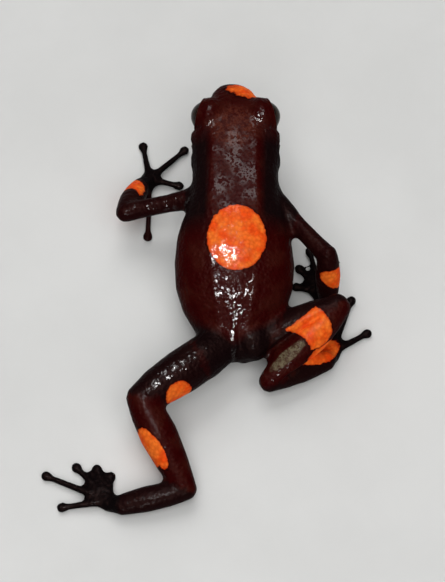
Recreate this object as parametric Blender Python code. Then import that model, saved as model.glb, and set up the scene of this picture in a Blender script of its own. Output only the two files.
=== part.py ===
"""A harlequin poison frog at life size, walking: left arm forward, left leg stretched behind.

The frog faces +Y and its right side is +X. Sizes here are millimetres until the last step, which
scales every piece to metres. The whole body is modelled as one skin of lofted limbs and trunk, and
is then parted with thin cuts at the joints, so that neighbouring pieces meet face to face.
"""

import math

import bmesh
import bpy
from mathutils import Matrix, Vector

MM = 0.001

# The body's axis: where the vent lies, the lean to the right, how the snout turns to the left from a
# distance forward of the vent on, and the gap that parts the pieces
VENT_X = -0.45
VENT_Y = 1.7
LEAN = 0.012
SNOUT_TURN = 0.01
SNOUT_TURN_FROM = 28.0
GAP = 0.3

# The eyes
EYE_RADIUS = 2.1
EYE_FORWARD = 30.4
EYE_HEIGHT = 10.2
EYE_ASIDE = 3.4
LID_THICKNESS = 0.52
LID_OPENING = 2.0
LID_WIDER = 1.12
LID_REACH = 2.6
EYE_AIM = Vector((0.94, 0.3, 0.03))

# The mouth, nostrils and eardrums
MOUTH_HEIGHT = 7.65
MOUTH_WIDTH = 0.28
MOUTH_DEPTH = 0.5
MOUTH_CORNER = 26.2
MOUTH_STEPS = 12
MOUTH_OUTSIDE = 9.0
NOSTRIL_RADIUS = 0.33
NOSTRIL = (34.5, 9.35, 2.15)
EARDRUM_RADIUS = 0.95
EARDRUM = (26.3, 9.1, 5.38)
EARDRUM_GROOVE = 0.24

# Bones, from joint to joint
HUMERUS = 9.15
FOREARM = 7.3
FEMUR = 11.5
TIBIA = 12.1
TARSUS = 8.1

# Digits
FINGER_RADIUS = 0.44
TOE_RADIUS = 0.46
DISC_RADIUS = 0.72
DIGIT_HEIGHT = 0.42
# Along a digit: share of its length, height above the ground, thickness as a share of its radius
DIGIT_ARCH = ((0.0, 0.75, 1.15), (0.3, 0.85, 1.05), (0.6, 0.62, 0.95), (0.88, 0.42, 0.85))

# Palms and soles: distance past the wrist or ankle, height, half sizes across, forward and up
PALM_AHEAD = 1.6
PALM_HEIGHT = 0.75
PALM_SIZE = (1.25, 1.7, 0.85)
SOLE_AHEAD = 1.4
SOLE_HEIGHT = 0.7
SOLE_SIZE = (1.2, 1.9, 0.8)

# Muscles that swell both sides of the trunk: forward, height, aside, and half sizes
SHOULDER_MUSCLE = (20.3, 7.6, 3.6, (2.3, 2.9, 2.7))
HIP_MUSCLE = (2.6, 4.5, 2.3, (2.4, 2.7, 2.5))

# Domes that close the ends of a limb: their steps in degrees, and length as a share of the radius
DOME_STEPS = (25, 50, 70, 84)
DOME_LENGTH = 0.9

# The skin before it is parted
VOXEL = 0.2
SKIN_TRIANGLES = 8000

# Where the skin is parted: the neck, the radius of the plate at each joint, and the two folds of the
# folded leg as reach from the joint, reach behind it and half width
NECK = (23.6, 8.6)
NECK_TILT = 0.12
PLATE_RADIUS = {
    "neck": 8.0, "shoulder": 3.0, "elbow": 2.6, "wrist": 2.2, "knee": 3.4, "heel": 2.8, "ankle": 2.2
}
KNEE_FOLD = (15.0, 3.0, 5.0)
HEEL_FOLD = (9.0, 2.4, 3.0)

# Stations of the trunk and head: distance forward of the vent, height of the middle, half width,
# half height, and squareness of the section, where 2 is an ellipse
TRUNK = (
    (0.0, 4.0, 0.9, 0.7, 2.0),
    (0.7, 4.1, 2.0, 1.5, 2.0),
    (2.0, 4.2, 3.4, 2.4, 2.1),
    (4.0, 4.5, 4.9, 3.1, 2.1),
    (6.2, 4.9, 6.25, 3.8, 2.1),
    (9.0, 5.4, 7.15, 4.4, 2.1),
    (12.0, 6.0, 7.35, 4.7, 2.1),
    (15.0, 6.6, 7.1, 4.7, 2.1),
    (17.5, 7.2, 6.4, 4.4, 2.2),
    (20.0, 7.9, 5.6, 3.9, 2.4),
    (22.5, 8.5, 5.3, 3.5, 2.5),
    (25.0, 9.0, 5.45, 3.2, 2.6),
    (27.0, 9.2, 5.6, 3.05, 2.8),
    (29.5, 9.35, 5.25, 2.95, 2.8),
    (31.5, 9.3, 4.35, 2.8, 2.6),
    (33.1, 9.1, 3.2, 2.45, 2.4),
    (34.3, 8.9, 2.5, 2.1, 2.4),
    (35.1, 8.75, 1.9, 1.65, 2.4),
    (35.5, 8.7, 1.3, 1.05, 2.3),
)

# Radii along each limb, as fractions of the bone and radii across and upward
UPPER_ARM_SHAPE = ((-0.12, 1.5, 1.7), (0.1, 1.4, 1.6), (0.4, 1.1, 1.2), (0.75, 1.15, 1.2), (1, 1.3, 1.3))
FOREARM_SHAPE = ((-0.05, 1.2, 1.2), (0.12, 1.4, 1.4), (0.4, 1.6, 1.5), (0.75, 1.4, 1.3), (1, 1.1, 0.95))
THIGH_SHAPE = ((-0.08, 2.3, 2.2), (0.2, 2.75, 2.7), (0.5, 2.7, 2.65), (0.8, 2.4, 2.3), (1, 1.85, 1.8))
SHANK_SHAPE = ((-0.03, 1.7, 1.6), (0.15, 2.1, 1.95), (0.4, 2.3, 2.15), (0.7, 1.95, 1.85), (1, 1.35, 1.35))
TARSUS_SHAPE = ((0.0, 1.25, 1.2), (0.25, 1.5, 1.35), (0.6, 1.6, 1.4), (1, 1.3, 1.0))

# The pose: where each limb leaves the body, then heading and pitch of each bone in degrees,
# heading 0 being straight ahead and 90 the frog's right
POSE = {
    "left": {
        "shoulder": Vector((-4.9, 22.1, 7.6)),
        "shoulder_cut": (1.7, -93.0),
        "arm": ((-95.5, -13.0), (15.5, -32.0)),
        "hip": Vector((-2.3, 3.1, 4.8)),
        "hip_cut": (Vector((-4.7, 1.5, 4.9)), -120.0, 4.0),
        "leg": ((-127.0, 3.0), (152.0, -17.0), (-102.0, -4.0)),
        "thigh_girth": 1.0,
        "palm_heading": 42.0,
        "foot_heading": -64.0,
    },
    "right": {
        "shoulder": Vector((5.2, 20.8, 7.8)),
        "shoulder_cut": (3.3, 108.0),
        "arm": ((140.5, 1.8), (176.0, -66.5)),
        "hip": Vector((1.4, 4.0, 3.5)),
        "hip_cut": (Vector((4.9, 5.3, 5.1)), 113.0, 4.3),
        "leg": ((70.5, 13.5), (-135.6, -16.0), (64.5, -8.5)),
        "thigh_girth": 0.85,
        "palm_heading": -28.0,
        "foot_heading": 22.0,
    },
}

# Digits of each hand and foot, innermost first: heading and length from the palm's or sole's middle
FINGERS = {
    "left": ((181.0, 8.7), (100.0, 4.5), (44.0, 7.0), (-10.5, 5.9)),
    "right": ((-70.0, 3.9), (-36.0, 5.2), (-12.0, 6.9), (22.0, 5.6)),
}
TOES = {
    "left": ((2.0, 4.0), (-20.0, 5.2), (-42.0, 6.7), (-66.0, 9.0), (-96.0, 6.3)),
    "right": ((-66.0, 3.9), (-44.0, 5.0), (-22.0, 6.0), (20.0, 8.5), (58.0, 6.0)),
}

SKIN_BROWN = (0.05, 0.008, 0.006)
SKIN_BLACK = (0.008, 0.006, 0.006)
EYE_BLACK = (0.004, 0.004, 0.005)


def direction(heading, pitch):
    """A unit vector at a heading from +Y towards +X and a pitch above the horizon, in degrees."""
    turn = math.radians(heading)
    rise = math.radians(pitch)
    return Vector((math.sin(turn) * math.cos(rise), math.cos(turn) * math.cos(rise), math.sin(rise)))


def chain(start, lengths, angles):
    """The joints of a limb from its first one, bone by bone."""
    joints = [start]
    for length, (heading, pitch) in zip(lengths, angles):
        joints.append(joints[-1] + length * direction(heading, pitch))
    return joints


def frame_of(centre, along, across_radius, up_radius):
    """A matrix that puts a unit circle round centre, square to along, with its second axis upward."""
    along = along.normalized()
    across = along.cross(Vector((0, 0, 1)))
    if across.length < 0.2:
        across = Vector((1, 0, 0))
    across.normalize()
    up = across.cross(along)
    turn = Matrix((across * across_radius, up * up_radius, -along)).transposed().to_4x4()
    return Matrix.Translation(centre) @ turn


def squared(circle, power):
    """Moves the points of a unit circle out towards a square's corners; power 2 leaves it round."""
    for vert in circle:
        x, y, _ = vert.co
        size = (abs(x) ** power + abs(y) ** power) ** (1 / power)
        vert.co = Vector((x / size, y / size, 0))


def loft(bm, stations, sides=20):
    """Adds a closed tube through oval sections; each is (centre, along, across, up, squareness)."""
    rings = []
    for index, (centre, along, across, up, power) in enumerate(stations):
        end = index in (0, len(stations) - 1)
        made = bmesh.ops.create_circle(bm, cap_ends=end, segments=sides, radius=1)
        verts = made["verts"]
        squared(verts, power)
        bmesh.ops.transform(bm, matrix=frame_of(centre, along, across, up), verts=verts)
        rings.append({edge for vert in verts for edge in vert.link_edges})
    for before, after in zip(rings, rings[1:]):
        bmesh.ops.bridge_loops(bm, edges=list(before | after))


def rounded(stations):
    """Adds smaller sections at both ends, so that a loft closes in a dome."""
    done = list(stations)
    for place, sign in ((0, -1), (-1, 1)):
        centre, along, across, up, power = stations[place]
        radius = min(across, up)
        steps = []
        for angle in DOME_STEPS:
            out = sign * radius * DOME_LENGTH * math.sin(math.radians(angle))
            share = math.cos(math.radians(angle))
            steps.append((centre + out * along.normalized(), along, across * share, up * share, power))
        done = list(reversed(steps)) + done if place == 0 else done + steps
    return done


def limb(bm, start, end, shape, girth=1.0):
    """Adds one limb segment between two joints, with its radii from a table of fractions."""
    along = end - start
    stations = [(start + along * f, along, across * girth, up * girth, 2) for f, across, up in shape]
    loft(bm, rounded(stations))


def blob(bm, centre, radii, heading=0.0):
    """Adds an ellipsoid with the given half sizes across, forward and upward, turned to a heading."""
    turn = Matrix.Rotation(-math.radians(heading), 4, "Z")
    size = Matrix.Diagonal((*radii, 1))
    bmesh.ops.create_uvsphere(
        bm, u_segments=20, v_segments=14, radius=1, matrix=Matrix.Translation(centre) @ turn @ size
    )


def digit(bm, root, heading, length, radius):
    """Adds a finger or toe that arches over its knuckle to a flat round disc on the ground."""
    ahead = direction(heading, 0)
    stations = []
    for share, height, thick in DIGIT_ARCH:
        centre = root + ahead * (length * share)
        centre.z = height
        stations.append((centre, ahead, radius * thick, radius * thick, 2))
    loft(bm, rounded(stations), sides=14)
    disc = root + ahead * (length - DISC_RADIUS)
    disc.z = DIGIT_HEIGHT
    blob(bm, disc, (DISC_RADIUS, DISC_RADIUS * 1.05, DIGIT_HEIGHT + 0.08), heading)


def body_point(forward, height, aside=0.0):
    """A point in the body's own lean: distance forward of the vent, height and distance to its right."""
    turn = SNOUT_TURN * max(0.0, forward - SNOUT_TURN_FROM) ** 2
    return Vector((VENT_X + LEAN * forward - turn + aside, VENT_Y + forward, height))


def trunk(bm):
    """Adds the trunk, neck and head as one loft, with the hip and shoulder muscles and the eye mounds."""
    along = Vector((LEAN, 1, 0))
    loft(bm, [(body_point(s, z), along, w, h, n) for s, z, w, h, n in TRUNK], sides=32)
    for side in (-1, 1):
        for forward, height, aside, size in (SHOULDER_MUSCLE, HIP_MUSCLE):
            blob(bm, body_point(forward, height, side * aside), size)
        blob(bm, eye_centre(side), (EYE_RADIUS + LID_THICKNESS,) * 3)


def eye_centre(side):
    """The middle of an eye; side is -1 on the left and 1 on the right."""
    return body_point(EYE_FORWARD, EYE_HEIGHT, side * EYE_ASIDE)


def new_object(name, bm):
    """Turns a finished bmesh into an object of the scene."""
    mesh = bpy.data.meshes.new(name)
    bm.to_mesh(mesh)
    bm.free()
    obj = bpy.data.objects.new(name, mesh)
    bpy.context.scene.collection.objects.link(obj)
    return obj


def apply_modifiers(obj):
    """Replaces an object's mesh with what its modifiers make of it."""
    graph = bpy.context.evaluated_depsgraph_get()
    made = bpy.data.meshes.new_from_object(obj.evaluated_get(graph))
    old = obj.data
    obj.modifiers.clear()
    obj.data = made
    bpy.data.meshes.remove(old)


def flatten_soles(skin):
    """Presses whatever reaches below the ground flat, so that palms, soles and discs rest on flats."""
    for vert in skin.data.vertices:
        vert.co.z = max(vert.co.z, 0.0)


def whole_skin(joints):
    """Models the whole frog as one closed skin."""
    bm = bmesh.new()
    trunk(bm)
    for side in ("left", "right"):
        shoulder, elbow, wrist = joints[side]["arm"]
        hip, knee, heel, ankle = joints[side]["leg"]
        limb(bm, shoulder, elbow, UPPER_ARM_SHAPE)
        limb(bm, elbow, wrist, FOREARM_SHAPE)
        limb(bm, hip, knee, THIGH_SHAPE, POSE[side]["thigh_girth"])
        limb(bm, knee, heel, SHANK_SHAPE)
        limb(bm, heel, ankle, TARSUS_SHAPE)
        palm = joints[side]["palm"]
        blob(bm, palm, PALM_SIZE, POSE[side]["palm_heading"])
        limb(bm, wrist, palm, ((0.0, 0.9, 0.85), (1.0, 1.0, 0.7)))
        for heading, length in FINGERS[side]:
            digit(bm, palm, heading, length, FINGER_RADIUS)
        sole = joints[side]["sole"]
        blob(bm, sole, SOLE_SIZE, POSE[side]["foot_heading"])
        limb(bm, ankle, sole, ((0.0, 1.05, 0.85), (1.0, 1.1, 0.7)))
        for heading, length in TOES[side]:
            digit(bm, sole, heading, length, TOE_RADIUS)
    skin = new_object("skin", bm)
    remesh = skin.modifiers.new("One skin", "REMESH")
    remesh.mode = "VOXEL"
    remesh.voxel_size = VOXEL
    smooth = skin.modifiers.new("Soft joints", "SMOOTH")
    smooth.factor = 0.5
    smooth.iterations = 4
    apply_modifiers(skin)
    flatten_soles(skin)
    decimate = skin.modifiers.new("Fewer faces", "DECIMATE")
    decimate.ratio = SKIN_TRIANGLES / sum(len(face.vertices) - 2 for face in skin.data.polygons)
    apply_modifiers(skin)
    return skin


def solid_cutter(name, fill):
    """A closed helper object made by fill, for one cut."""
    bm = bmesh.new()
    fill(bm)
    cutter = new_object(name, bm)
    cutter.hide_render = True
    cutter.display_type = "WIRE"
    return cutter


def cut(target, cutter):
    """Cuts a helper object out of a body and removes the helper."""
    boolean = target.modifiers.new("Cut", "BOOLEAN")
    boolean.operation = "DIFFERENCE"
    boolean.solver = "MANIFOLD"
    boolean.object = cutter
    apply_modifiers(target)
    mesh = cutter.data
    bpy.data.objects.remove(cutter)
    bpy.data.meshes.remove(mesh)


def cut_eyes(skin):
    """Hollows each socket and opens the lids round it."""
    for side in (-1, 1):
        centre = eye_centre(side)
        aim = Vector((side * EYE_AIM.x, EYE_AIM.y, EYE_AIM.z))

        def socket(bm):
            bmesh.ops.create_uvsphere(
                bm, u_segments=20, v_segments=14, radius=EYE_RADIUS + GAP, matrix=Matrix.Translation(centre)
            )

        def opening(bm):
            middle = centre + aim.normalized() * LID_REACH
            frame = frame_of(middle, aim, LID_OPENING * LID_WIDER, LID_OPENING)
            bmesh.ops.create_cone(
                bm, cap_ends=True, segments=20, radius1=1.25, radius2=0.92, depth=LID_REACH, matrix=frame
            )

        cut(skin, solid_cutter("socket", socket))
        cut(skin, solid_cutter("opening", opening))


def head_half_width(forward, height):
    """Half the width of the head at a distance forward of the vent and a height, from its sections."""
    for (s0, z0, w0, h0, n0), (s1, z1, w1, h1, n1) in zip(TRUNK, TRUNK[1:]):
        if s0 <= forward <= s1:
            share = (forward - s0) / (s1 - s0)
            middle, wide, high = (a + (b - a) * share for a, b in ((z0, z1), (w0, w1), (h0, h1)))
            power = n0 + (n1 - n0) * share
            return wide * max(0.0, 1 - (abs(height - middle) / high) ** power) ** (1 / power)
    return 0.0


def cut_mouth(skin):
    """Cuts the line of the mouth from one corner round the snout to the other."""
    front = TRUNK[-2][0]
    inner = []
    for index in range(MOUTH_STEPS + 1):
        share = index / MOUTH_STEPS
        forward = MOUTH_CORNER + (front - MOUTH_CORNER) * math.sin(math.pi / 2 * share)
        wide = head_half_width(forward, MOUTH_HEIGHT) - MOUTH_DEPTH
        inner.append((forward - MOUTH_DEPTH * share, max(wide, MOUTH_WIDTH)))
    outline = [(forward, -wide) for forward, wide in inner]
    outline += [(forward, wide) for forward, wide in reversed(inner)]
    beyond = front + MOUTH_OUTSIDE
    outline += [(MOUTH_CORNER, MOUTH_OUTSIDE), (beyond, MOUTH_OUTSIDE)]
    outline += [(beyond, -MOUTH_OUTSIDE), (MOUTH_CORNER, -MOUTH_OUTSIDE)]

    def horseshoe(bm):
        verts = [bm.verts.new(body_point(s, MOUTH_HEIGHT - MOUTH_WIDTH / 2, x)) for s, x in outline]
        face = bm.faces.new(verts)
        grown = bmesh.ops.extrude_face_region(bm, geom=[face])["geom"]
        top = [v for v in grown if isinstance(v, bmesh.types.BMVert)]
        bmesh.ops.translate(bm, verts=top, vec=(0, 0, MOUTH_WIDTH))
        bmesh.ops.recalc_face_normals(bm, faces=bm.faces)

    cut(skin, solid_cutter("mouth", horseshoe))


def cut_head_marks(skin):
    """Sinks the nostrils and the ring round each eardrum."""
    for side in (-1, 1):
        nostril = Matrix.Translation(body_point(NOSTRIL[0], NOSTRIL[1], side * NOSTRIL[2]))
        middle = body_point(EARDRUM[0], EARDRUM[1], side * EARDRUM[2])

        def pit(bm):
            bmesh.ops.create_uvsphere(
                bm, u_segments=10, v_segments=7, radius=NOSTRIL_RADIUS, matrix=nostril
            )

        def groove(bm):
            ring = bmesh.ops.create_circle(bm, segments=6, radius=EARDRUM_GROOVE)["verts"]
            bmesh.ops.translate(bm, verts=ring, vec=(EARDRUM_RADIUS, 0, 0))
            bmesh.ops.spin(
                bm, geom=bm.verts[:] + bm.edges[:], cent=(0, 0, 0), axis=(0, 1, 0),
                angle=2 * math.pi, steps=18, use_merge=True, use_duplicate=False
            )
            bmesh.ops.recalc_face_normals(bm, faces=bm.faces)
            place = Matrix.Translation(middle) @ Matrix.Rotation(math.radians(90), 4, "Z")
            bmesh.ops.transform(bm, matrix=place, verts=bm.verts)

        cut(skin, solid_cutter("nostril", pit))
        cut(skin, solid_cutter("eardrum", groove))


def slab(skin, name, point, normal, radius=None):
    """Cuts the skin through with a thin round plate square to normal."""
    radius = radius or PLATE_RADIUS[name]

    def plate(bm):
        frame = frame_of(point, normal, 1, 1)
        bmesh.ops.create_cone(
            bm, cap_ends=True, segments=24, radius1=radius, radius2=radius, depth=GAP, matrix=frame
        )

    cut(skin, solid_cutter(name, plate))


def fold_slab(skin, name, joint, first, second, size):
    """Cuts along the fold between two limb segments that leave one joint side by side."""
    reach, behind, half_width = size
    one = (first - joint).normalized()
    two = (second - joint).normalized()
    middle = (one + two).normalized()
    normal = (two - one).normalized()
    side = normal.cross(middle)
    turn = Matrix((middle, side, normal)).transposed().to_4x4()
    length = reach + behind
    centre = joint + middle * (reach - behind) / 2
    place = Matrix.Translation(centre) @ turn @ Matrix.Diagonal((length, 2 * half_width, GAP, 1))
    cut(skin, solid_cutter(name, lambda bm: bmesh.ops.create_cube(bm, size=1, matrix=place)))


def part_limbs(skin, joints):
    """Parts the skin at the neck and at each joint of the limbs."""
    slab(skin, "neck", body_point(*NECK), Vector((LEAN, 1, NECK_TILT)))
    for side in ("left", "right"):
        shoulder, elbow, wrist = joints[side]["arm"]
        hip, knee, heel, ankle = joints[side]["leg"]
        upper = (elbow - shoulder).normalized()
        lower = (wrist - elbow).normalized()
        distance, heading = POSE[side]["shoulder_cut"]
        slab(skin, "shoulder", shoulder + upper * distance, direction(heading, 0))
        slab(skin, "elbow", elbow, upper + lower)
        slab(skin, "wrist", wrist, lower + direction(POSE[side]["palm_heading"], 0))
        point, heading, radius = POSE[side]["hip_cut"]
        slab(skin, "hip", point, direction(heading, 0), radius)
        tarsus = (ankle - heel).normalized()
        slab(skin, "ankle", ankle, tarsus + direction(POSE[side]["foot_heading"], 0))
    hip, knee, heel, ankle = joints["left"]["leg"]
    slab(skin, "knee", knee, (knee - hip).normalized() + (heel - knee).normalized())
    slab(skin, "heel", heel, (heel - knee).normalized() + (ankle - heel).normalized())


def part_folded_leg(leg, joints):
    """Parts the folded right leg along its two folds, thigh from shank and shank from tarsus."""
    hip, knee, heel, ankle = joints["right"]["leg"]
    fold_slab(leg, "knee", knee, hip, heel, KNEE_FOLD)
    fold_slab(leg, "heel", heel, knee, ankle, HEEL_FOLD)


def bones(joints):
    """The middle line of every named piece, as pairs of points."""
    found = {
        "torso": (body_point(2, 4.5), body_point(22.5, 8.4)),
        "head": (body_point(24.5, 9.0), body_point(35, 9.0)),
    }
    for side in ("left", "right"):
        shoulder, elbow, wrist = joints[side]["arm"]
        hip, knee, heel, ankle = joints[side]["leg"]
        palm = joints[side]["palm"]
        sole = joints[side]["sole"]
        found["upper_arm_" + side] = (shoulder, elbow)
        found["forearm_" + side] = (elbow, wrist)
        found["hand_" + side] = (palm, palm + direction(POSE[side]["palm_heading"], 0) * 2)
        found["thigh_" + side] = (hip.lerp(knee, 0.35), knee)
        found["shank_" + side] = (knee, heel)
        found["tarsus_" + side] = (heel, ankle)
        found["foot_" + side] = (sole, sole + direction(POSE[side]["foot_heading"], 0) * 3)
    return found


def islands(mesh):
    """The faces of each loose part of a mesh, as lists of face indices."""
    bm = bmesh.new()
    bm.from_mesh(mesh)
    bm.faces.ensure_lookup_table()
    seen = set()
    parts = []
    for face in bm.faces:
        if face.index in seen:
            continue
        seen.add(face.index)
        front = [face]
        part = []
        while front:
            here = front.pop()
            part.append(here.index)
            for edge in here.edges:
                for other in edge.link_faces:
                    if other.index not in seen:
                        seen.add(other.index)
                        front.append(other)
        parts.append(part)
    bm.free()
    return parts


def split(skin, lines):
    """Makes one object of the largest loose part nearest to the middle of each named line."""
    names = {}
    for part in islands(skin.data):
        keep = set(part)
        bm = bmesh.new()
        bm.from_mesh(skin.data)
        bm.faces.ensure_lookup_table()
        bmesh.ops.delete(bm, geom=[f for f in bm.faces if f.index not in keep], context="FACES")
        volume = bm.calc_volume()
        middle = sum((f.calc_center_median() * f.calc_area() for f in bm.faces), Vector())
        middle /= sum(f.calc_area() for f in bm.faces)
        nearest = min(((middle - (a + b) / 2).length, name) for name, (a, b) in lines.items())[1]
        if nearest in names and names[nearest][0] > volume:
            bm.free()
            continue
        if nearest in names:
            names[nearest][1].free()
        names[nearest] = (volume, bm)
    bpy.data.objects.remove(skin)
    return {name: new_object(name, bm) for name, (volume, bm) in sorted(names.items())}


def eye(name, side):
    """One eyeball, resting in its socket."""
    bm = bmesh.new()
    bmesh.ops.create_uvsphere(
        bm, u_segments=20, v_segments=14, radius=EYE_RADIUS, matrix=Matrix.Translation(eye_centre(side))
    )
    return new_object(name, bm)


def skin_material(name, colour, roughness):
    """A wet skin or eye surface of one colour."""
    material = bpy.data.materials.new(name)
    material.use_nodes = True
    shader = material.node_tree.nodes["Principled BSDF"]
    shader.inputs["Base Color"].default_value = (*colour, 1)
    shader.inputs["Roughness"].default_value = roughness
    shader.inputs["Metallic"].default_value = 0
    return material


def finish(objects):
    """Gives each piece its material, centres the frog over the origin and scales it to metres."""
    corners = [obj.data.vertices[i].co for obj in objects for i in range(len(obj.data.vertices))]
    middle_x = (min(c.x for c in corners) + max(c.x for c in corners)) / 2
    middle_y = (min(c.y for c in corners) + max(c.y for c in corners)) / 2
    lowest = min(c.z for c in corners)
    place = Matrix.Scale(MM, 4) @ Matrix.Translation((-middle_x, -middle_y, -lowest))
    for obj in objects:
        obj.data.transform(place)
        if obj.name.startswith("eye"):
            material = skin_material(obj.name, EYE_BLACK, 0.08)
        elif obj.name.startswith(("hand", "foot")):
            material = skin_material(obj.name, SKIN_BLACK, 0.3)
        else:
            material = skin_material(obj.name, SKIN_BROWN, 0.3)
        obj.data.materials.append(material)
        obj.data.shade_smooth()
        obj.data.set_sharp_from_angle(angle=math.radians(50))


def main():
    for obj in list(bpy.data.objects):
        bpy.data.objects.remove(obj)
    joints = {}
    for side in ("left", "right"):
        pose = POSE[side]
        arm = chain(pose["shoulder"], (HUMERUS, FOREARM), pose["arm"])
        leg = chain(pose["hip"], (FEMUR, TIBIA, TARSUS), pose["leg"])
        palm = arm[-1] + direction(pose["palm_heading"], 0) * PALM_AHEAD
        palm.z = PALM_HEIGHT
        sole = leg[-1] + direction(pose["foot_heading"], 0) * SOLE_AHEAD
        sole.z = SOLE_HEIGHT
        joints[side] = {"arm": arm, "leg": leg, "palm": palm, "sole": sole}
    skin = whole_skin(joints)
    cut_eyes(skin)
    cut_mouth(skin)
    cut_head_marks(skin)
    part_limbs(skin, joints)
    lines = bones(joints)
    folded = {name: lines.pop(name) for name in ("thigh_right", "shank_right", "tarsus_right")}
    pieces = split(skin, lines | {"leg_right": folded["shank_right"]})
    leg = pieces.pop("leg_right")
    part_folded_leg(leg, joints)
    pieces |= split(leg, folded)
    finish([*pieces.values(), eye("eye_left", -1), eye("eye_right", 1)])


main()
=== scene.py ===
# %% [markdown]
# # A harlequin poison frog, walking
#
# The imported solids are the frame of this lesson: a small frog, parted at its joints, with two
# eyeballs. Here the frog gets its looks. Its flesh becomes one skin without seams, modelled further
# with small strokes, and painted with materials that are worked out from the place on the body.
# Everything is in metres. The frog faces +Y, and +X is its right side.

import math

import bmesh
import bpy
import numpy as np
from mathutils import Matrix, Vector, noise
from mathutils.kdtree import KDTree


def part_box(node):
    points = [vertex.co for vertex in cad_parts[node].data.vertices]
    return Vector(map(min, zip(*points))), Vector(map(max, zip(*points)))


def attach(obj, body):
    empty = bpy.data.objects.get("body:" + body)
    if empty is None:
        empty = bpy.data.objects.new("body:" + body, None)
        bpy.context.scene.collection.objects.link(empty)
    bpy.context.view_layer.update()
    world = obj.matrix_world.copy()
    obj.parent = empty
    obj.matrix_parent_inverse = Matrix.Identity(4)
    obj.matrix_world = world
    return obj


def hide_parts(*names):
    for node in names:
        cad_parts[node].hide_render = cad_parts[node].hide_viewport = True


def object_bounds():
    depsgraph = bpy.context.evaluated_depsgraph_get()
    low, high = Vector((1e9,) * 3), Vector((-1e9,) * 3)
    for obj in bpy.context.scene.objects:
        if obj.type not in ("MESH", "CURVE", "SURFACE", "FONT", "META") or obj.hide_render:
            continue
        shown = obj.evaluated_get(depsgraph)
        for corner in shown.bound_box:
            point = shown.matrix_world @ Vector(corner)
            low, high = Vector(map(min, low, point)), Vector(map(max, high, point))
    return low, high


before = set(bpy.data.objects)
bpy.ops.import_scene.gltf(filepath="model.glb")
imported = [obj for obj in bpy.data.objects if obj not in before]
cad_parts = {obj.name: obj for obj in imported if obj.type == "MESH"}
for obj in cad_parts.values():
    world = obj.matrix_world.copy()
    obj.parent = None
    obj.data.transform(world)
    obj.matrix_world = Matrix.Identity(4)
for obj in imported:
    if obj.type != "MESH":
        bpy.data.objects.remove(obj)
cad_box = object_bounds()
MM = 0.001
SIDES = {"left": -1, "right": 1}
flesh = sorted(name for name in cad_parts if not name.startswith("eye"))
print("flesh nodes:", ", ".join(flesh))

# %% [markdown]
# ## Places on the body
#
# A living body has no corner to measure from. The two eyeballs are the clearest points of this frog,
# so every place is given from the point between them. Distances are in millimetres: x to the frog's
# right of its vent, y ahead of it and z above the floor. If the frame moves, every place moves too.

# %% Measure from the eyes
EYES_AHEAD = Vector((-0.143, 32.1, 10.2))


def middle_of(node):
    """The middle of a node's box, in metres."""
    low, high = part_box(node)
    return (low + high) / 2


eye_middle = {side: middle_of("eye_" + side) for side in SIDES}
eyes_between = (eye_middle["left"] + eye_middle["right"]) / 2
origin = eyes_between - EYES_AHEAD * MM


def at(x, y, z):
    """A place on the frog, given in millimetres from the vent, as a point in metres."""
    return origin + Vector((x, y, z)) * MM


print("vent, in mm:", [round(value / MM, 2) for value in at(0, 0, 0)])

# %% [markdown]
# ## One skin
#
# The solids meet with gaps as thin as a fingernail, which a living skin doesn't have. The gaps could
# be filled by hand, face by face. It is quicker to puff every solid up a little, so that neighbours
# run into each other, to wrap the whole in a net of small even squares with the Remesh modifier, and
# to shrink the net back by the same amount. A ball in each socket lets the lids close on the eye.

# %% Join and wrap the flesh
EYE_RADIUS = 2.1
BALL_UNDER_EYE = 0.1 * MM
PUFF = 0.26 * MM
NET = 0.215 * MM
SAME_POINT = 1e-7


def object_from(bm, name):
    """Turns a finished bmesh into an object of the scene."""
    mesh = bpy.data.meshes.new(name)
    bm.to_mesh(mesh)
    bm.free()
    made = bpy.data.objects.new(name, mesh)
    bpy.context.scene.collection.objects.link(made)
    return made


def swell(piece, name, distance):
    """Adds a modifier that moves every point along its normal."""
    modifier = piece.modifiers.new(name, "DISPLACE")
    modifier.strength = distance
    modifier.mid_level = 0


def soften(piece, name, rounds):
    """Adds a modifier that evens out the net."""
    modifier = piece.modifiers.new(name, "SMOOTH")
    modifier.factor = 0.5
    modifier.iterations = rounds


def apply_modifiers(piece):
    """Replaces a piece's mesh with what its modifiers make of it."""
    graph = bpy.context.evaluated_depsgraph_get()
    made = bpy.data.meshes.new_from_object(piece.evaluated_get(graph))
    piece.modifiers.clear()
    piece.data = made


bm = bmesh.new()
for name in flesh:
    bm.from_mesh(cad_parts[name].data)
bmesh.ops.remove_doubles(bm, verts=bm.verts, dist=SAME_POINT)
ball_radius = EYE_RADIUS * MM - BALL_UNDER_EYE - PUFF
for side in SIDES:
    ball = Matrix.Translation(eye_middle[side])
    bmesh.ops.create_icosphere(bm, subdivisions=4, radius=ball_radius, matrix=ball)
skin = object_from(bm, "skin")
swell(skin, "Puff up", PUFF)
wrap = skin.modifiers.new("Wrap", "REMESH")
wrap.mode = "VOXEL"
wrap.voxel_size = NET
soften(skin, "Soften", 6)
swell(skin, "Shrink back", -PUFF)
soften(skin, "Settle", 1)
apply_modifiers(skin)
print("skin:", len(skin.data.polygons), "faces")

# %% [markdown]
# The shrinking can leave a few thorns where the net is narrow, as on the toes' tips. A point that is
# too far from the middle of its neighbours is such a thorn, and it is pulled back to them.

# %% Pull thorns back
THORN = 0.06 * MM
THORN_PULL = 0.8
THORN_ROUNDS = 4


def open_skin():
    """The skin's mesh, ready for mesh operators."""
    bm = bmesh.new()
    bm.from_mesh(skin.data)
    return bm


def close_skin(bm):
    """Puts a changed mesh back into the skin."""
    bm.to_mesh(skin.data)
    bm.free()


def pull_together(bm, verts, pull):
    """Moves points towards the middle of their neighbours."""
    axes = {"use_axis_" + axis: True for axis in "xyz"}
    bmesh.ops.smooth_vert(bm, verts=verts, factor=pull, **axes)


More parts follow.
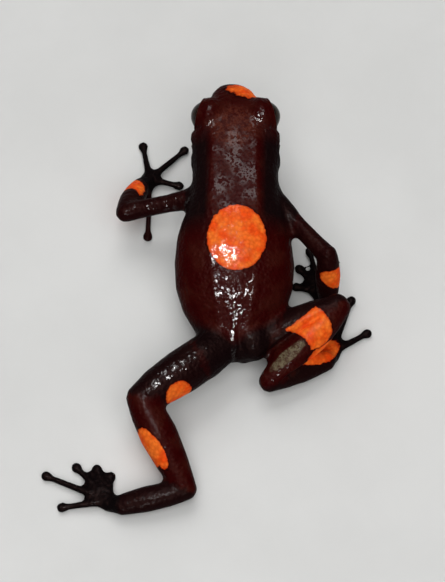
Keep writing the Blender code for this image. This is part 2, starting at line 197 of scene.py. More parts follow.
bm = open_skin()
for _ in range(THORN_ROUNDS):
    thorns = []
    for vert in bm.verts:
        around = [edge.other_vert(vert).co for edge in vert.link_edges]
        if (sum(around, Vector()) / len(around) - vert.co).length > THORN:
            thorns.append(vert)
    pull_together(bm, thorns, THORN_PULL)
    print("thorns:", len(thorns))
close_skin(bm)

# %% [markdown]
# ## Modelling with strokes
#
# A sculptor draws ridges and creases into clay with a small tool. The same tool here is a stroke: a
# line of places, a width, and a height that is negative for a groove. Every point of the skin near
# the line moves along its own normal, most at the line and less towards the stroke's edge. Where a
# stroke is narrower than two squares of the net, the squares near it are divided first.

# %% Read and write the skin's points
points = None
normals = None


def read_skin():
    """Reads the skin's points, in millimetres from the vent, and their normals."""
    global points, normals
    count = len(skin.data.vertices)
    found = np.empty(count * 3)
    skin.data.vertices.foreach_get("co", found)
    points = (found.reshape(-1, 3) - np.array(origin)) / MM
    turned = np.empty(count * 3, np.float32)
    skin.data.vertex_normals.foreach_get("vector", turned)
    normals = turned.reshape(-1, 3).astype(float)


def write_skin():
    """Puts the moved points back into the skin, with the soles pressed flat on the floor."""
    moved = points * MM + np.array(origin)
    moved[:, 2] = np.maximum(moved[:, 2], cad_box[0][2])
    skin.data.vertices.foreach_set("co", moved.ravel())
    skin.data.update()


def refine(chosen):
    """Divides the faces whose middles chosen accepts into four."""
    bm = open_skin()
    near = [face for face in bm.faces if chosen((face.calc_center_median() - origin) / MM)]
    edges = list({edge for face in near for edge in face.edges})
    bmesh.ops.subdivide_edges(bm, edges=edges, cuts=1, use_grid_fill=True)
    close_skin(bm)


print("net size", round(NET / MM, 3), "mm")

# %% The sculpting tool


def bell(far, width):
    """1 at no distance, less further away, and almost 0 at twice the width."""
    return np.exp(-((far / width) ** 2))


def rise(value, start, length):
    """0 up to start, then rising to 1 over a length."""
    return np.clip((value - start) / length, 0, 1)


def fall(value, end, length):
    """1, then falling to 0 over a length that ends at end."""
    return np.clip((end - value) / length, 0, 1)


def push(heights):
    """Moves each point of the skin along its normal by its own height."""
    global points
    points = points + normals * heights[:, None]


def distance_to(line):
    """How far each point of the skin is from a line of places, and how far along the line it is."""
    line = np.array(line, float)
    best = np.full(len(points), np.inf)
    along = np.zeros(len(points))
    for index, (a, b) in enumerate(zip(line, line[1:])):
        reach = b - a
        share = np.clip((points - a) @ reach / (reach @ reach), 0, 1)
        far = np.linalg.norm(points - a - share[:, None] * reach, axis=1)
        nearer = far < best
        best[nearer] = far[nearer]
        along[nearer] = (index + share[nearer]) / (len(line) - 1)
    return best, along


def stroke(line, width, height, fade=0.15):
    """Raises the skin along a line, or sinks it where height is negative; both ends fade out."""
    far, along = distance_to(line)
    ends = np.clip(np.minimum(along, 1 - along) / fade, 0, 1)
    push(height * ends * bell(far, width))


# %% [markdown]
# ## The head
#
# A frog's mouth runs round the snout to a corner behind the eye. Above it lie two nostrils near the
# snout's tip, and behind the eye a round eardrum. A ridge goes from the eye over the eardrum to the
# shoulder. All of them are lines and dents in one surface, so they are pushed into it. The body
# leans a little, and the snout turns left, so places on the head are given from its middle line.

# %% The body's middle line
HIPS = Vector((-0.45, 1.7))
LEAN = 0.012
SNOUT_TURN = 0.01
SNOUT_TURN_FROM = 29.7


def body_axis(y):
    """The x of the body's middle line at a distance ahead of the vent."""
    return HIPS.x + LEAN * (y - HIPS.y) - SNOUT_TURN * np.maximum(0, y - SNOUT_TURN_FROM) ** 2


def beside(sign, place):
    """A place whose x is given from the middle line, on the left for -1 or the right for 1."""
    aside, y, z = place
    return body_axis(y) + sign * aside, y, z


print("middle line at the snout's tip:", round(float(body_axis(37)), 2), "mm")

# %% Mouth
MOUTH_HEIGHT = 7.65
MOUTH_SINK = 0.35
MOUTH_SINK_FROM = 31.5
MOUTH_CORNER = 27.6
LINE_DEPTH, LINE_WIDTH = 0.3, 0.11
LIP_HEIGHT, LIP_AWAY, LIP_WIDTH = 0.07, 0.36, 0.2
NOSTRIL = (2.2, 36.2, 9.35)


def mouth_height(y):
    """The height of the mouth's line, which sinks a little towards its corners."""
    return MOUTH_HEIGHT - MOUTH_SINK * fall(y, MOUTH_SINK_FROM, 4) ** 2


def near_mouth(place):
    """Whether a place is close to the mouth's line."""
    return place.y > MOUTH_CORNER - 0.4 and abs(place.z - mouth_height(place.y)) < 0.45


def near_nostril(place):
    """Whether a place is close to a nostril."""
    aside = abs(place.x - body_axis(place.y))
    return (Vector((aside, place.y, place.z)) - Vector(NOSTRIL)).length < 0.75


refine(lambda place: near_mouth(place) or near_nostril(place))
read_skin()
below = points[:, 2] - mouth_height(points[:, 1])
line = -LINE_DEPTH * bell(below, LINE_WIDTH)
lips = LIP_HEIGHT * bell(np.abs(below) - LIP_AWAY, LIP_WIDTH)
push((line + lips) * rise(points[:, 1], MOUTH_CORNER, 1.2))
print("mouth:", len(points), "points")

# %% Nostrils, eardrums and the ridge over them
NOSTRIL_RIM = {"height": 0.07, "away": 0.5, "width": 0.16}
NOSTRIL_PIT = {"height": -0.38, "away": 0.0, "width": 0.24}
EARDRUM = (5.38, 28.0, 9.1)
EARDRUM_RING = {"height": -0.19, "away": 0.95, "width": 0.2}
EARDRUM_DISH = {"height": -0.1, "away": 0.0, "width": 0.6}
EAR_RIDGE = ((5.1, 30.4, 10.1), (5.5, 29.0, 10.25), (5.5, 27.4, 10.1), (5.4, 26.2, 9.4), (5.1, 25.2, 8.6))


def press_rings(place, *rings):
    """Pushes rings into the skin round a place; a ring that isn't away from it is a dent."""
    far = np.linalg.norm(points - np.array(place), axis=1)
    push(sum(ring["height"] * bell(far - ring["away"], ring["width"]) for ring in rings))


for sign in SIDES.values():
    press_rings(beside(sign, NOSTRIL), NOSTRIL_RIM, NOSTRIL_PIT)
write_skin()
read_skin()
for sign in SIDES.values():
    press_rings(beside(sign, EARDRUM), EARDRUM_RING, EARDRUM_DISH)
    stroke([beside(sign, place) for place in EAR_RIDGE], 0.35, 0.14)
write_skin()
print("nostrils and eardrums done")

# %% [markdown]
# ## The lids
#
# The lids end in a soft rim that holds the eyeball. The wrapped net is ragged there, because a lid is
# hardly thicker than one of its squares. A stroke can't mend that. So the net round each eye is
# evened out first and then drawn to a profile, the way a potter shapes a lip on the wheel: how far
# the skin lies from the eye's middle follows from its angle to the middle of the opening.

# %% Round the eye
EYE_AIM = Vector((0.94, 0.3, 0.03)).normalized()
LID_WIDER = 1.07
LID_LOWER = 0.96
LID_REACH = 3.0


def eye_axes(side):
    """The ways an eye looks, and ahead and up across its opening."""
    aim = Vector((SIDES[side] * EYE_AIM.x, EYE_AIM.y, EYE_AIM.z))
    ahead = aim.cross(Vector((0, 0, 1))).normalized()
    return aim, ahead, ahead.cross(aim)


def around_eye(side, places):
    """How far places are from an eye's middle, and their angle from the middle of its opening."""
    centre = (np.array(eye_middle[side]) - np.array(origin)) / MM
    aim, ahead, upward = (np.array(axis) for axis in eye_axes(side))
    out = places - centre
    across = np.hypot(out @ ahead / LID_WIDER, out @ upward / LID_LOWER)
    return centre, np.linalg.norm(out, axis=1), np.arctan2(across, out @ aim)


def near_lid(place):
    """Whether a place is close to the edge of a lid."""
    for side in SIDES:
        _, (far,), (angle,) = around_eye(side, np.array([place]))
        if far < LID_REACH and math.radians(40) < angle < math.radians(88):
            return True
    return False


refine(near_lid)
print("lids refined:", len(skin.data.vertices), "points")

# %% Lids
# Pairs of an angle in degrees and a distance from the eye's middle. Inside the opening the skin stays
# hidden in the eyeball.
LID_PROFILE = (
    (0, 1.78), (46, 1.8), (51, 1.92), (54, 2.12), (57, 2.31), (61, 2.42), (67, 2.37), (75, 2.42),
)
LID_ROUNDS = 8
bm = open_skin()
soft = []
for side in SIDES:
    places = (np.array([vert.co for vert in bm.verts]) - np.array(origin)) / MM
    _, far, angle = around_eye(side, places)
    inside = (far < LID_REACH) & (angle < math.radians(84))
    soft += [vert for vert, chosen in zip(bm.verts, inside) if chosen]
for _ in range(LID_ROUNDS):
    pull_together(bm, soft, 0.5)
close_skin(bm)
read_skin()
for side in SIDES:
    centre, far, angle = around_eye(side, points)
    wanted = np.interp(np.degrees(angle), *zip(*LID_PROFILE))
    share = fall(angle, math.radians(90), math.radians(14))
    share = np.where(far < LID_REACH, share * share * (3 - 2 * share), 0)
    points = points + (points - centre) * ((wanted / np.maximum(far, 1e-6) - 1) * share)[:, None]
write_skin()
print("lids done:", len(soft), "points evened out")

# %% [markdown]
# ## The back
#
# This frog's back is flat between two low edges, from the eyes to the shoulders, and the light shows
# where they end. Towards the vent the tail bone makes a thin ridge, with a hip bone on each side.

# %% Flat back
EDGE_HEIGHT = 0.28
EDGE_ASIDE = ((18.5, 25.0), (3.2, 2.85))
EDGE_WIDTH_INSIDE, EDGE_WIDTH_OUTSIDE = 1.1, 0.38
EDGE_SHIFT = 0.12
read_skin()
ahead = points[:, 1]
aside = np.abs(points[:, 0] - body_axis(ahead) + EDGE_SHIFT)
edge_aside = np.interp(ahead, *EDGE_ASIDE)
width = np.where(aside < edge_aside, EDGE_WIDTH_INSIDE, EDGE_WIDTH_OUTSIDE)
along_back = rise(ahead, 17.0, 2.5) * fall(ahead, 29.5, 2.5)
facing_up = np.clip(normals[:, 2] * 1.6 - 0.2, 0, 1)
points[:, 2] += EDGE_HEIGHT * bell(aside - edge_aside, width) * along_back * facing_up
print("back done")

# %% Tail bone and hip bones
TAIL_BONE = ((0, 1.0, 4.4), (0, 4, 7.0), (0, 7, 8.8), (0, 10.5, 10.2))
HIP_BONE = ((1.0, 2.6, 5.8), (2.0, 5.6, 7.6), (2.6, 8.6, 9.0), (2.7, 11.2, 10.0))
stroke([beside(1, place) for place in TAIL_BONE], 0.3, 0.24)
for sign in SIDES.values():
    stroke([beside(sign, place) for place in HIP_BONE], 0.5, 0.12)
write_skin()
print("bones done")

# %% [markdown]
# ## Folds at the joints and grain of the skin
#
# Skin gathers where a limb bends: in the armpit, the groin and the hollow of the knee. On the folded
# leg, thigh, shank and tarsus lie against each other, and a deep crease shows where they touch. Over
# all of it lies a fine grain, small flat warts set close together, which comes from a cell pattern.

# %% Folds
FOLDS = (
    ((-5.6, 20.6, 8.6), (-6.0, 20.2, 7.4), (-6.0, 20.3, 6.2)),
    ((-6.4, 20.8, 8.3), (-6.8, 20.5, 7.2), (-6.7, 20.6, 6.2)),
    ((6.1, 19.6, 9.2), (7.0, 18.6, 8.4), (7.1, 18.2, 7.2)),
    ((-3.4, 5.8, 6.2), (-4.6, 3.6, 6.4), (-5.2, 1.6, 6.0)),
    ((-12.6, -5.6, 4.6), (-11.4, -6.6, 5.0), (-9.9, -6.6, 4.6)),
    ((-12.4, -6.4, 4.4), (-11.2, -7.3, 4.6), (-9.8, -7.2, 4.2)),
    ((3.6, 6.6, 7.2), (4.6, 5.6, 6.9), (5.0, 4.2, 6.0)),
)
FOLD_WIDTH = 0.22
FOLD_DEPTH = 0.12
read_skin()
for fold in FOLDS:
    stroke(fold, FOLD_WIDTH, -FOLD_DEPTH, fade=0.3)
write_skin()
print(len(FOLDS), "folds")

# %% The folded leg
HIP = (1.4, 4.0, 3.5)
KNEE = (11.94, 7.73, 6.19)
HEEL = (3.8, -0.58, 2.85)
ANKLE = (11.03, 2.87, 1.65)
CREASE_WIDTH = 0.26
CREASE_REACH = 3.4


def toward(start, end):
    """The direction from one place to another."""
    return (end - start) / np.linalg.norm(end - start)


def crease_between(joint, first, second, start, end, depth):
    """Sinks the skin along the plane in which two folded limb pieces touch."""
    joint, first, second = (np.array(place) for place in (joint, first, second))
    one = toward(joint, first)
    two = toward(joint, second)
    along = (one + two) / np.linalg.norm(one + two)
    across = (two - one) / np.linalg.norm(two - one)
    offset = points - joint
    reach = offset @ along
    inside = rise(reach, start, 1.2) * fall(reach, end, 1.5)
    near = fall(np.abs(offset @ np.cross(along, across)), CREASE_REACH, 0.6)
    push(-depth * bell(offset @ across, CREASE_WIDTH) * inside * near)


read_skin()
crease_between(KNEE, HIP, HEEL, 1.4, 11.0, 0.5)
crease_between(HEEL, KNEE, ANKLE, 1.2, 8.5, 0.4)
write_skin()
print("folded leg creased")

# %% Grain
GRAIN_SIZE = 0.62
GRAIN_HEIGHT = 0.03
GRAIN_LEVEL = 0.45
GRAIN_FLOOR = 0.8
read_skin()
heights = np.array([
    min(noise.voronoi(Vector(place) / GRAIN_SIZE)[0][0], GRAIN_FLOOR) for place in points
])
push((GRAIN_LEVEL - heights) * GRAIN_HEIGHT)
write_skin()
skin.data.shade_smooth()
print("grain done")

# %% [markdown]
# ## Where the skin is black, and where shade is painted
#
# Hands and feet are black. The flanks, the end of the rump and every underside are painted near-black
# as shade, and so is part of the dark on the thighs, tarsi and arms. A material can't know which part
# of the body it is on, so each point of the skin carries a number, an attribute, that says how black
# it is painted. It comes from the nearest solid of the frame, blurred so that no border shows, from
# where the point lies on the trunk, and from which way it faces.

# %% Blackness and painted shade
# Black share of each limb: hands and feet have black skin; the dark on tarsi, thighs and arms is partly
# painted shade
BLACK_AND_SHADE_SHARE = {
    "hand": 1.0, "foot": 1.0, "tarsus": 0.8, "upper_arm": 0.6, "forearm": 0.6, "thigh": 0.8,
}
NEIGHBOURS = 24
# How dark shade is painted on undersides, flanks and the end of the rump
UNDERSIDE_PAINTED_SHADE, FLANK_PAINTED_SHADE, RUMP_PAINTED_SHADE = 0.95, 0.9, 0.9
tree = KDTree(sum(len(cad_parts[name].data.vertices) for name in flesh))
owners = []
for name in flesh:
    share = BLACK_AND_SHADE_SHARE.get(name.rsplit("_", 1)[0], 0.0)
    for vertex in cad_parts[name].data.vertices:
        tree.insert(vertex.co, len(owners))
        owners.append((share, float(name in ("head", "torso"))))
tree.balance()
nearest = [
    [index for _, index, _ in tree.find_n(vertex.co, NEIGHBOURS)] for vertex in skin.data.vertices
]
limb, trunk = np.array(owners)[np.array(nearest)].mean(axis=1).T
read_skin()
ahead = points[:, 1]
aside = np.abs(points[:, 0] - body_axis(ahead))
# Painted shade: undersides by which way they face, the flanks and the rump's end by their place
underside = fall(normals[:, 2], 0.45, 0.75)
flank_shade = trunk * rise(ahead, 15.5, 3) * fall(ahead, 30.5, 3) * rise(aside, 2.95, 0.8)
rump_shade = trunk * fall(ahead, 3.6 + 0.62 * aside, 1.2)
black = np.maximum.reduce((limb, UNDERSIDE_PAINTED_SHADE * underside, FLANK_PAINTED_SHADE * flank_shade, RUMP_PAINTED_SHADE * rump_shade))
for name, value in (("black", black), ("underside", underside)):
    attribute = skin.data.attributes.new(name, "FLOAT", "POINT")
    attribute.data.foreach_set("value", value.astype(np.float32))
print("mean blackness", round(float(black.mean()), 2))

# %% [markdown]
# ## Building materials
#
# A material is a small machine of nodes. The helper adds one node, sets its options, and joins its
# inputs to numbers or to other nodes, so that the cells below read like a recipe.

# %% Helpers for nodes


def add(kind, inputs=None, **options):
    """Adds a shader node and fills its inputs with values or with the outputs of other nodes."""
    made = nodes.nodes.new(kind)
    for option, value in options.items():
        setattr(made, option, value)
    for key, value in (inputs or {}).items():
        if isinstance(value, bpy.types.NodeSocket):
            nodes.links.new(value, made.inputs[key])
        else:
            made.inputs[key].default_value = value
    return made


def number(operation, *values):
    """The result of one sum on numbers."""
    return add("ShaderNodeMath", dict(enumerate(values)), operation=operation).outputs[0]


def arrow(operation, inputs, output=0):
    """The result of one sum on places."""
    return add("ShaderNodeVectorMath", inputs, operation=operation).outputs[output]


def blend_colours(share, first, second):
    """A colour between two others."""
    return add("ShaderNodeMix", {0: share, 6: first, 7: second}, data_type="RGBA").outputs[2]


def ramp(value, low, high, start=0.0, end=1.0):
    """Turns the range from low to high into the range from start to end, with soft ends."""
    inputs = {"Value": value, "From Min": low, "From Max": high, "To Min": start, "To Max": end}
    return add("ShaderNodeMapRange", inputs, interpolation_type="SMOOTHSTEP").outputs[0]


def clouds(size, detail=2.0, roughness=0.5):
    """A cloudy pattern whose clouds are about size metres wide."""
    inputs = {"Vector": coordinates, "Scale": 1 / size, "Detail": detail, "Roughness": roughness}
    return add("ShaderNodeTexNoise", inputs).outputs["Fac"]


def cells(size, feature="F1"):
    """The distance to the middle of the nearest cell, for cells about size metres wide."""
    inputs = {"Vector": coordinates, "Scale": 1 / size}
    return add("ShaderNodeTexVoronoi", inputs, feature=feature).outputs["Distance"]


def point_value(name):
    """A number that the points of a mesh carry."""
    return add("ShaderNodeAttribute", attribute_name=name).outputs["Fac"]


def plug(output, name):
    """Joins an output to an input of the main shader."""
    nodes.links.new(output, shader.inputs[name])


def new_material(name):
    """An empty node material, its nodes, its main shader and the place that they read."""
    global nodes, shader, coordinates
    material = bpy.data.materials.new(name)
    material.use_nodes = True
    nodes = material.node_tree
    shader = nodes.nodes["Principled BSDF"]
    coordinates = add("ShaderNodeTexCoord").outputs["Object"]
    return material


# %% [markdown]
# ## The skin's colours
#
# The frog is a dark wine brown, with orange-red patches on the snout, the back and the limbs. A patch
# could be painted on an unwrapped picture, but a net of squares has no natural unwrapping. Instead
# each patch is an egg in space: where the skin passes through the egg, it is orange. A little noise
# on the place makes the edge uneven, as it is on the frog, and a thin dark line runs round it.

# %% Patches
# Each egg: its middle and half sizes in millimetres, and its turn in degrees about x, y and z
PATCHES = {
    "snout": ((0.84, 34.49, 9.9), (3.08, 2.08, 1.8), (0, 0, -23)),
    "back": ((-0.06, 14.96, 11.11), (3.61, 4.07, 4.6), (0, 0, -1)),
    "left forearm": ((-13.49, 25.87, 4.49), (1.97, 2.67, 4.71), (-15, 13, 11)),
    "right forearm": ((12.55, 11.73, 5.87), (2.77, 1.42, 2.36), (56, 11, -33)),
    "right shank": ((7.7, 4.11, 7.97), (3.28, 4.38, 2.22), (-31, 9, -62)),
    "right tarsus": ((9.54, 3.73, 3.06), (4.34, 1.81, 2.91), (37, 2, 14)),
    "left thigh": ((-6.97, -3.32, 5.77), (1.73, 1.25, 2.2), (1, -21, 48)),
    "left shank": ((-10.14, -9.36, 3.58), (0.94, 3.41, 2.86), (-21, 1, 34)),
}
# Brown eggs that bite into a patch, as the knob of the forearm does
BITES = (
    ("left forearm", (-13.78, 22.77, 5.24), (1.81, 2.39, 2.37), (23, -1, -5)),
    ("right shank", (6.17, 2.51, 4.65), (2.79, 2.32, 5.81), (12, 3, -18)),
    ("right shank", (-4.33, 21.91, 8.1), (20.0, 20.0, 20.0), (0, 0, 0)),
)
WOBBLES_PER_METRE = 1500
WOBBLE = 0.5 * MM


def egg(place, half, turn):
    """How far each place is outside an egg, in millimetres; it is negative inside."""
    turned = add("ShaderNodeMapping", {
        "Vector": uneven, "Location": at(*place), "Scale": Vector(half) * MM,
        "Rotation": [math.radians(angle) for angle in turn],
    }, vector_type="TEXTURE").outputs[0]
    share = arrow("LENGTH", {0: turned}, "Value")
    return number("MULTIPLY", number("SUBTRACT", share, 1.0), sorted(half)[1])


def nearest_egg(eggs):
    """How far each place is outside the nearest of several eggs."""
    outside = egg(*eggs[0])
    for sizes in eggs[1:]:
        outside = number("MINIMUM", outside, egg(*sizes))
    return outside


skin_material = new_material("skin_wet")
wobble = add("ShaderNodeTexNoise", {"Vector": coordinates, "Scale": WOBBLES_PER_METRE, "Detail": 2})
wobble = arrow("SUBTRACT", {0: wobble.outputs["Color"], 1: (0.5, 0.5, 0.5)})
uneven = arrow("ADD", {0: coordinates, 1: arrow("SCALE", {0: wobble, "Scale": WOBBLE})})
outside = None
for name, sizes in PATCHES.items():
    far = egg(*sizes)
    for bitten, *bite in BITES:
        if bitten == name:
            far = number("MAXIMUM", far, number("MULTIPLY", egg(*bite), -1.0))
    outside = far if outside is None else number("MINIMUM", outside, far)
print(len(PATCHES), "patches")

# %% Brown skin, with painted shade and sheen
WINE = (0.028, 0.0006, 0.0007, 1)
BROWN = (0.037, 0.0045, 0.0028, 1)
# Near-black, for the black hands and feet and for the painted shade
BLACK_AND_SHADE = (0.0035, 0.0022, 0.0026, 1)
# Pale olive paints the sheen of a reflection along the right shank
OLIVE_PAINTED_SHEEN = (0.17, 0.145, 0.085, 1)
# Light brown paints a haze of sheen on the crown between the eyes
CROWN_SHEEN_BROWN = (0.085, 0.017, 0.009, 1)
DRUM_BROWN = (0.06, 0.012, 0.008, 1)
# Egg where the shank's sheen is painted
SHANK_PAINTED_SHEEN = ((6.1, 1.75, 5.4), (0.8, 2.9, 1.7), (22, 0, -53))
# Egg where sheen is painted between the eyes
CROWN_PAINTED_SHEEN = ((-0.4, 29.6, 11.6), (3.0, 3.2, 2.5), (0, 0, 0))
DRUM_SIZE = (0.85, 0.85, 0.85)
mottle = ramp(clouds(2.2 * MM, 4.0), 0.42, 0.66)
flecks = ramp(clouds(0.5 * MM, 4.0, 0.7), 0.4, 0.6, 0.15, 0.85)
brown = blend_colours(mottle, WINE, BROWN)
# Black skin, and shade painted on undersides, flanks, rump and parts of the limbs
brown = blend_colours(point_value("black"), brown, BLACK_AND_SHADE)
# A pale sheen painted along the top of the right shank, in place of a reflection
shank_sheen = number("MULTIPLY", ramp(egg(*SHANK_PAINTED_SHEEN), 0.1, -0.4), flecks)
brown = blend_colours(shank_sheen, brown, OLIVE_PAINTED_SHEEN)
# A haze of sheen painted on the crown between the eyes
crown_sheen = number("MULTIPLY", ramp(egg(*CROWN_PAINTED_SHEEN), 0.5, -1.0), flecks)
brown = blend_colours(crown_sheen, brown, CROWN_SHEEN_BROWN)
for sign in SIDES.values():
    drum = egg(beside(sign, EARDRUM), DRUM_SIZE, (0, 0, 0))
    brown = blend_colours(ramp(drum, 0.1, -0.5, 0.0, 0.5), brown, DRUM_BROWN)
print("brown mixed")

# %% Orange patches, and the whole
ORANGE = (0.94, 0.088, 0.006, 1)
ORANGE_PALE = (1.0, 0.205, 0.022, 1)
ORANGE_DEEP = (0.52, 0.028, 0.004, 1)
RIM_DARK = (0.010, 0.0008, 0.0009, 1)
pores = ramp(cells(0.45 * MM), 0.2, 0.8)
orange = blend_colours(ramp(clouds(1.5 * MM, 5.0), 0.35, 0.65), ORANGE, ORANGE_PALE)
orange = blend_colours(number("MULTIPLY", pores, 0.35), orange, ORANGE_DEEP)
edge_tint = ramp(outside, -0.3, 0.0)
orange = blend_colours(number("MULTIPLY", edge_tint, 0.7), orange, ORANGE_DEEP)
brown = blend_colours(ramp(outside, 0.3, 0.05), brown, RIM_DARK)
plug(blend_colours(ramp(outside, -0.06, 0.06), orange, brown), "Base Color")
print("skin coloured")

# %% [markdown]
# ## The skin's shine
#
# The frog is wet. A film of water could cover it evenly, but then it would look like plastic. On the
# real frog the water lies in drops, in a net between the small warts, or as a closed film, and only
# in some places, which are eggs again. The shader has two layers for this: a rougher skin with the
# bump of the warts, and a coat as smooth as water, with ripples of its own where the water is thick.

# %% Where the water lies
WET_PLACES = {
    "drops": (
        ((-1.7, 12.9, 11.2), (1.9, 1.5, 3.0), (0, 0, 0)),
        ((0.3, 13.5, 11.2), (1.6, 0.8, 3.0), (0, 0, -10)),
        ((-0.15, 6.4, 9.3), (1.2, 2.2, 3.0), (0, 0, 0)),
        ((-1.8, 8.8, 10.0), (0.8, 1.7, 3.0), (0, 0, 10)),
        ((1.3, 8.6, 10.0), (0.45, 1.6, 3.0), (0, 0, -8)),
        ((3.0, -0.2, 3.6), (1.2, 1.2, 2.0), (0, 0, 0)),
        ((-9.4, 21.3, 8.2), (4.6, 0.8, 2.0), (0, 0, -6)),
        ((-7.0, -0.5, 7.0), (4.0, 0.9, 2.0), (0, 0, 36)),
    ),
    "net": (
        ((-0.3, 23.6, 12.0), (3.6, 5.6, 3.5), (0, 0, 0)),
        ((-3.4, 30.6, 11.5), (1.5, 3.0, 2.5), (0, 0, 0)),
        ((3.1, 30.6, 11.5), (1.5, 3.0, 2.5), (0, 0, 0)),
        ((5.85, 1.35, 5.25), (1.3, 2.8, 1.9), (22, 0, -53)),
    ),
    "closed": (
        ((-3.6, 29.35, 11.5), (0.5, 1.0, 1.2), (0, 0, -35)),
        ((3.75, 29.35, 11.5), (0.5, 1.0, 1.2), (0, 0, 30)),
        ((-0.45, 3.1, 6.0), (0.3, 2.1, 3.5), (0, 0, 0)),
    ),
}
DAMP = 0.015
drops = ramp(clouds(1.1 * MM, 5.0, 0.65), 0.495, 0.56)
threads = ramp(number("ABSOLUTE", number("SUBTRACT", clouds(0.6 * MM, 4.0), 0.5)), 0.1, 0.03)
thin = ramp(clouds(2.4 * MM, 3.0), 0.42, 0.58, 0.03, 0.3)
lying = {"drops": drops, "net": number("MULTIPLY", threads, thin), "closed": 1.0}
wet = DAMP
for how, places in WET_PLACES.items():
    film = number("MULTIPLY", ramp(nearest_egg(places), 0.6, -0.6), lying[how])
    wet = number("MAXIMUM", wet, film)
wet = number("MULTIPLY", wet, ramp(point_value("underside"), 0.0, 0.6, 1.0, 0.1))
plug(wet, "Coat Weight")
print(sum(len(places) for places in WET_PLACES.values()), "wet places")

# %% Warts, ripples and gloss
WART_SIZE = 0.42 * MM
FINE_SIZE = 0.2 * MM
RIPPLE_SIZE = 0.45 * MM
warts = ramp(cells(WART_SIZE, "SMOOTH_F1"), 0.1, 0.7, 1.0, 0.0)
fine = clouds(FINE_SIZE, 4.0, 0.6)
height = number("ADD", number("MULTIPLY", warts, 0.7), number("MULTIPLY", fine, 0.5))
rough_bump = add("ShaderNodeBump", {"Height": height, "Strength": 0.8, "Distance": 0.1 * MM})
plug(rough_bump.outputs[0], "Normal")
plug(ramp(fine, 0.3, 0.7, 0.36, 0.52), "Roughness")
ripples = number("ADD", clouds(RIPPLE_SIZE, 1.2, 0.4), number("MULTIPLY", fine, 0.12))
film_bump = add("ShaderNodeBump", {
    "Height": ripples, "Strength": ramp(wet, 0.3, 0.5, 0.35, 0.8), "Distance": 0.16 * MM,
})
plug(film_bump.outputs[0], "Coat Normal")
shader.inputs["Coat Roughness"].default_value = 0.06
shader.inputs["Coat IOR"].default_value = 1.36
shader.inputs["IOR"].default_value = 1.36
shader.inputs["Specular IOR Level"].default_value = 0.025
shader.inputs["Specular Tint"].default_value = (1.0, 0.5, 0.42, 1)
skin.data.materials.append(skin_material)
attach(skin, "root")
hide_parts(*flesh)
print("skin done")

# %% [markdown]
# ## The eyes
#
# A frog's eyeball is a ball with a clear dome in front. This species has a dark brown iris, in which
# the pupil, a lying oval, hardly shows. The ball starts as a sphere whose pole points out of the lids.
# The points near the pole are pushed out a little to make the dome. Each point also carries how far
# it is outside the pupil, so the material can draw the pupil's edge.

# %% The eye's colours
IRIS_DARK = (0.006, 0.003, 0.002, 1)
IRIS_BROWN = (0.032, 0.014, 0.006, 1)
IRIS_GOLD = (0.085, 0.042, 0.014, 1)
PUPIL_BLACK = (0.0012, 0.001, 0.001, 1)
eye_material = new_material("eye_wet_black")
streaks = ramp(clouds(0.35 * MM, 4.0, 0.7), 0.35, 0.75)
from_pupil = point_value("from_pupil")
iris = blend_colours(streaks, IRIS_DARK, IRIS_BROWN)
iris = blend_colours(ramp(from_pupil, 0.2, 0.06), iris, IRIS_GOLD)
iris = blend_colours(ramp(from_pupil, 0.04, -0.02), iris, PUPIL_BLACK)
plug(iris, "Base Color")
plug(ramp(streaks, 0.0, 1.0, 0.12, 0.22), "Roughness")
shader.inputs["Coat Weight"].default_value = 0.32
shader.inputs["Coat Roughness"].default_value = 0.02
shader.inputs["Coat IOR"].default_value = 1.34
shader.inputs["Specular IOR Level"].default_value = 0.04
print("eye coloured")

# %% Eyeballs
DOME_ANGLE = math.radians(48)
DOME_HEIGHT = 0.08 * MM
PUPIL_AHEAD, PUPIL_UP = 0.85, 0.6
for side in SIDES:
    aim, ahead, upward = eye_axes(side)
    place = Matrix.Translation(eye_middle[side]) @ aim.to_track_quat("Z", "Y").to_matrix().to_4x4()
    bm = bmesh.new()
    bmesh.ops.create_uvsphere(bm, u_segments=56, v_segments=36, radius=EYE_RADIUS * MM, matrix=place)
    outside_pupil = bm.verts.layers.float.new("from_pupil")
    for vert in bm.verts:
        out = vert.co - eye_middle[side]
        oval = math.hypot(out.dot(ahead) / PUPIL_AHEAD, out.dot(upward) / PUPIL_UP) / MM - 1
        vert[outside_pupil] = oval if out.dot(aim) > 0 else 1.0
        share = max(0.0, 1 - out.angle(aim) / DOME_ANGLE)
        vert.co += out.normalized() * DOME_HEIGHT * share * share * (3 - 2 * share)
    eyeball = object_from(bm, "eyeball_" + side)
    eyeball.data.materials.append(eye_material)
    eyeball.data.shade_smooth()
    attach(eyeball, "root")
    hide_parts("eye_" + side)
print("eyeballs done")

# %% [markdown]
# ## Floor and light
#
# The frog stands on a plain pale floor. A forest floor gets its light through gaps in the leaves, so
# the shine on wet skin comes from four lamps of a hand's size: the sky ahead gives the grey film on
# the flat back, and three gaps overhead and behind give the white points. They light the shine alone.
# Two broad soft lamps light the skin's own colour alone, so it keeps its depth.

# %% Floor
FLOOR_SIZE = 4.0
FLOOR_GREY = (0.60, 0.60, 0.585, 1)
FLOOR_PALE = (0.64, 0.64, 0.625, 1)
bm = bmesh.new()
on_floor = Matrix.Translation((0, 0, cad_box[0][2]))
bmesh.ops.create_grid(bm, x_segments=8, y_segments=8, size=FLOOR_SIZE / 2, matrix=on_floor)
floor = object_from(bm, "floor")
floor_material = new_material("floor_pale")
plug(blend_colours(ramp(clouds(0.02, 5.0), 0.3, 0.7), FLOOR_GREY, FLOOR_PALE), "Base Color")
shader.inputs["Roughness"].default_value = 0.75
floor.data.materials.append(floor_material)
print("floor done")

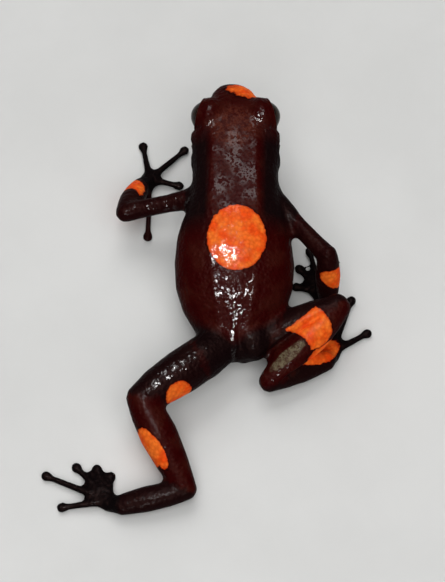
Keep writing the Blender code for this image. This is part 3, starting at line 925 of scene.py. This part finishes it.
# %% Lamps
# Each lamp: its place, its width and length in metres, its power in watts, and whether it lights the
# skin's own colour and its shine
LAMPS = (
    ("sky", (0.0, 0.19, 0.46), (0.2, 0.26), 1.9, False, True),
    ("gap", (0.004, -0.09, 0.49), (0.03, 0.22), 6.0, False, True),
    ("gap aside", (-0.11, -0.04, 0.48), (0.16, 0.05), 2.7, False, True),
    ("gap low behind", (0.0, -0.4, 0.28), (0.05, 0.12), 3.0, False, True),
    ("soft behind", (0.06, -0.27, 0.44), (0.6, 0.5), 2.0, True, False),
    ("soft ahead", (-0.1, 0.3, 0.42), (0.5, 0.4), 1.5, True, False),
)
for name, place, (width, length), power, lights, shines in LAMPS:
    lamp = bpy.data.lights.new(name, "AREA")
    lamp.shape = "RECTANGLE"
    lamp.size = width
    lamp.size_y = length
    lamp.energy = power
    lamp_object = bpy.data.objects.new(name, lamp)
    lamp_object.location = place
    lamp_object.rotation_euler = (-Vector(place)).to_track_quat("-Z", "Y").to_euler()
    lamp_object.visible_diffuse = lights
    lamp_object.visible_glossy = shines
    bpy.context.scene.collection.objects.link(lamp_object)
world = bpy.data.worlds.new("studio")
world.use_nodes = True
background = world.node_tree.nodes["Background"]
background.inputs["Color"].default_value = (0.95, 0.96, 1.0, 1)
background.inputs["Strength"].default_value = 0.06
bpy.context.scene.world = world
bpy.context.scene.view_settings.view_transform = "Standard"
print(len(LAMPS), "lamps")

# %% [markdown]
# ## Camera
#
# The camera looks down from behind the frog, at 64 degrees above the floor, from a quarter of a metre
# away. Its lens follows from how many dots of the picture a millimetre of the frog takes up.

# %% Camera
CAMERA_HEIGHT_ANGLE = math.radians(64)
CAMERA_DISTANCE = 250.0
CAMERA_TARGET = (-1.77, 10.6, 5.0)
PHOTO_HEIGHT = 582
PIXELS_PER_MM = 8.2
SENSOR_HEIGHT = 24.0
camera_data = bpy.data.cameras.new("camera")
camera_data.sensor_fit = "VERTICAL"
camera_data.sensor_height = SENSOR_HEIGHT
camera_data.lens = SENSOR_HEIGHT * PIXELS_PER_MM * CAMERA_DISTANCE / PHOTO_HEIGHT
camera_data.clip_start = 0.01
camera = bpy.data.objects.new("camera", camera_data)
looking = Vector((0, math.cos(CAMERA_HEIGHT_ANGLE), -math.sin(CAMERA_HEIGHT_ANGLE)))
camera.location = at(*CAMERA_TARGET) - looking * CAMERA_DISTANCE * MM
camera.rotation_euler = looking.to_track_quat("-Z", "Y").to_euler()
bpy.context.scene.collection.objects.link(camera)
bpy.context.scene.camera = camera
print("lens:", round(camera_data.lens, 1), "mm")
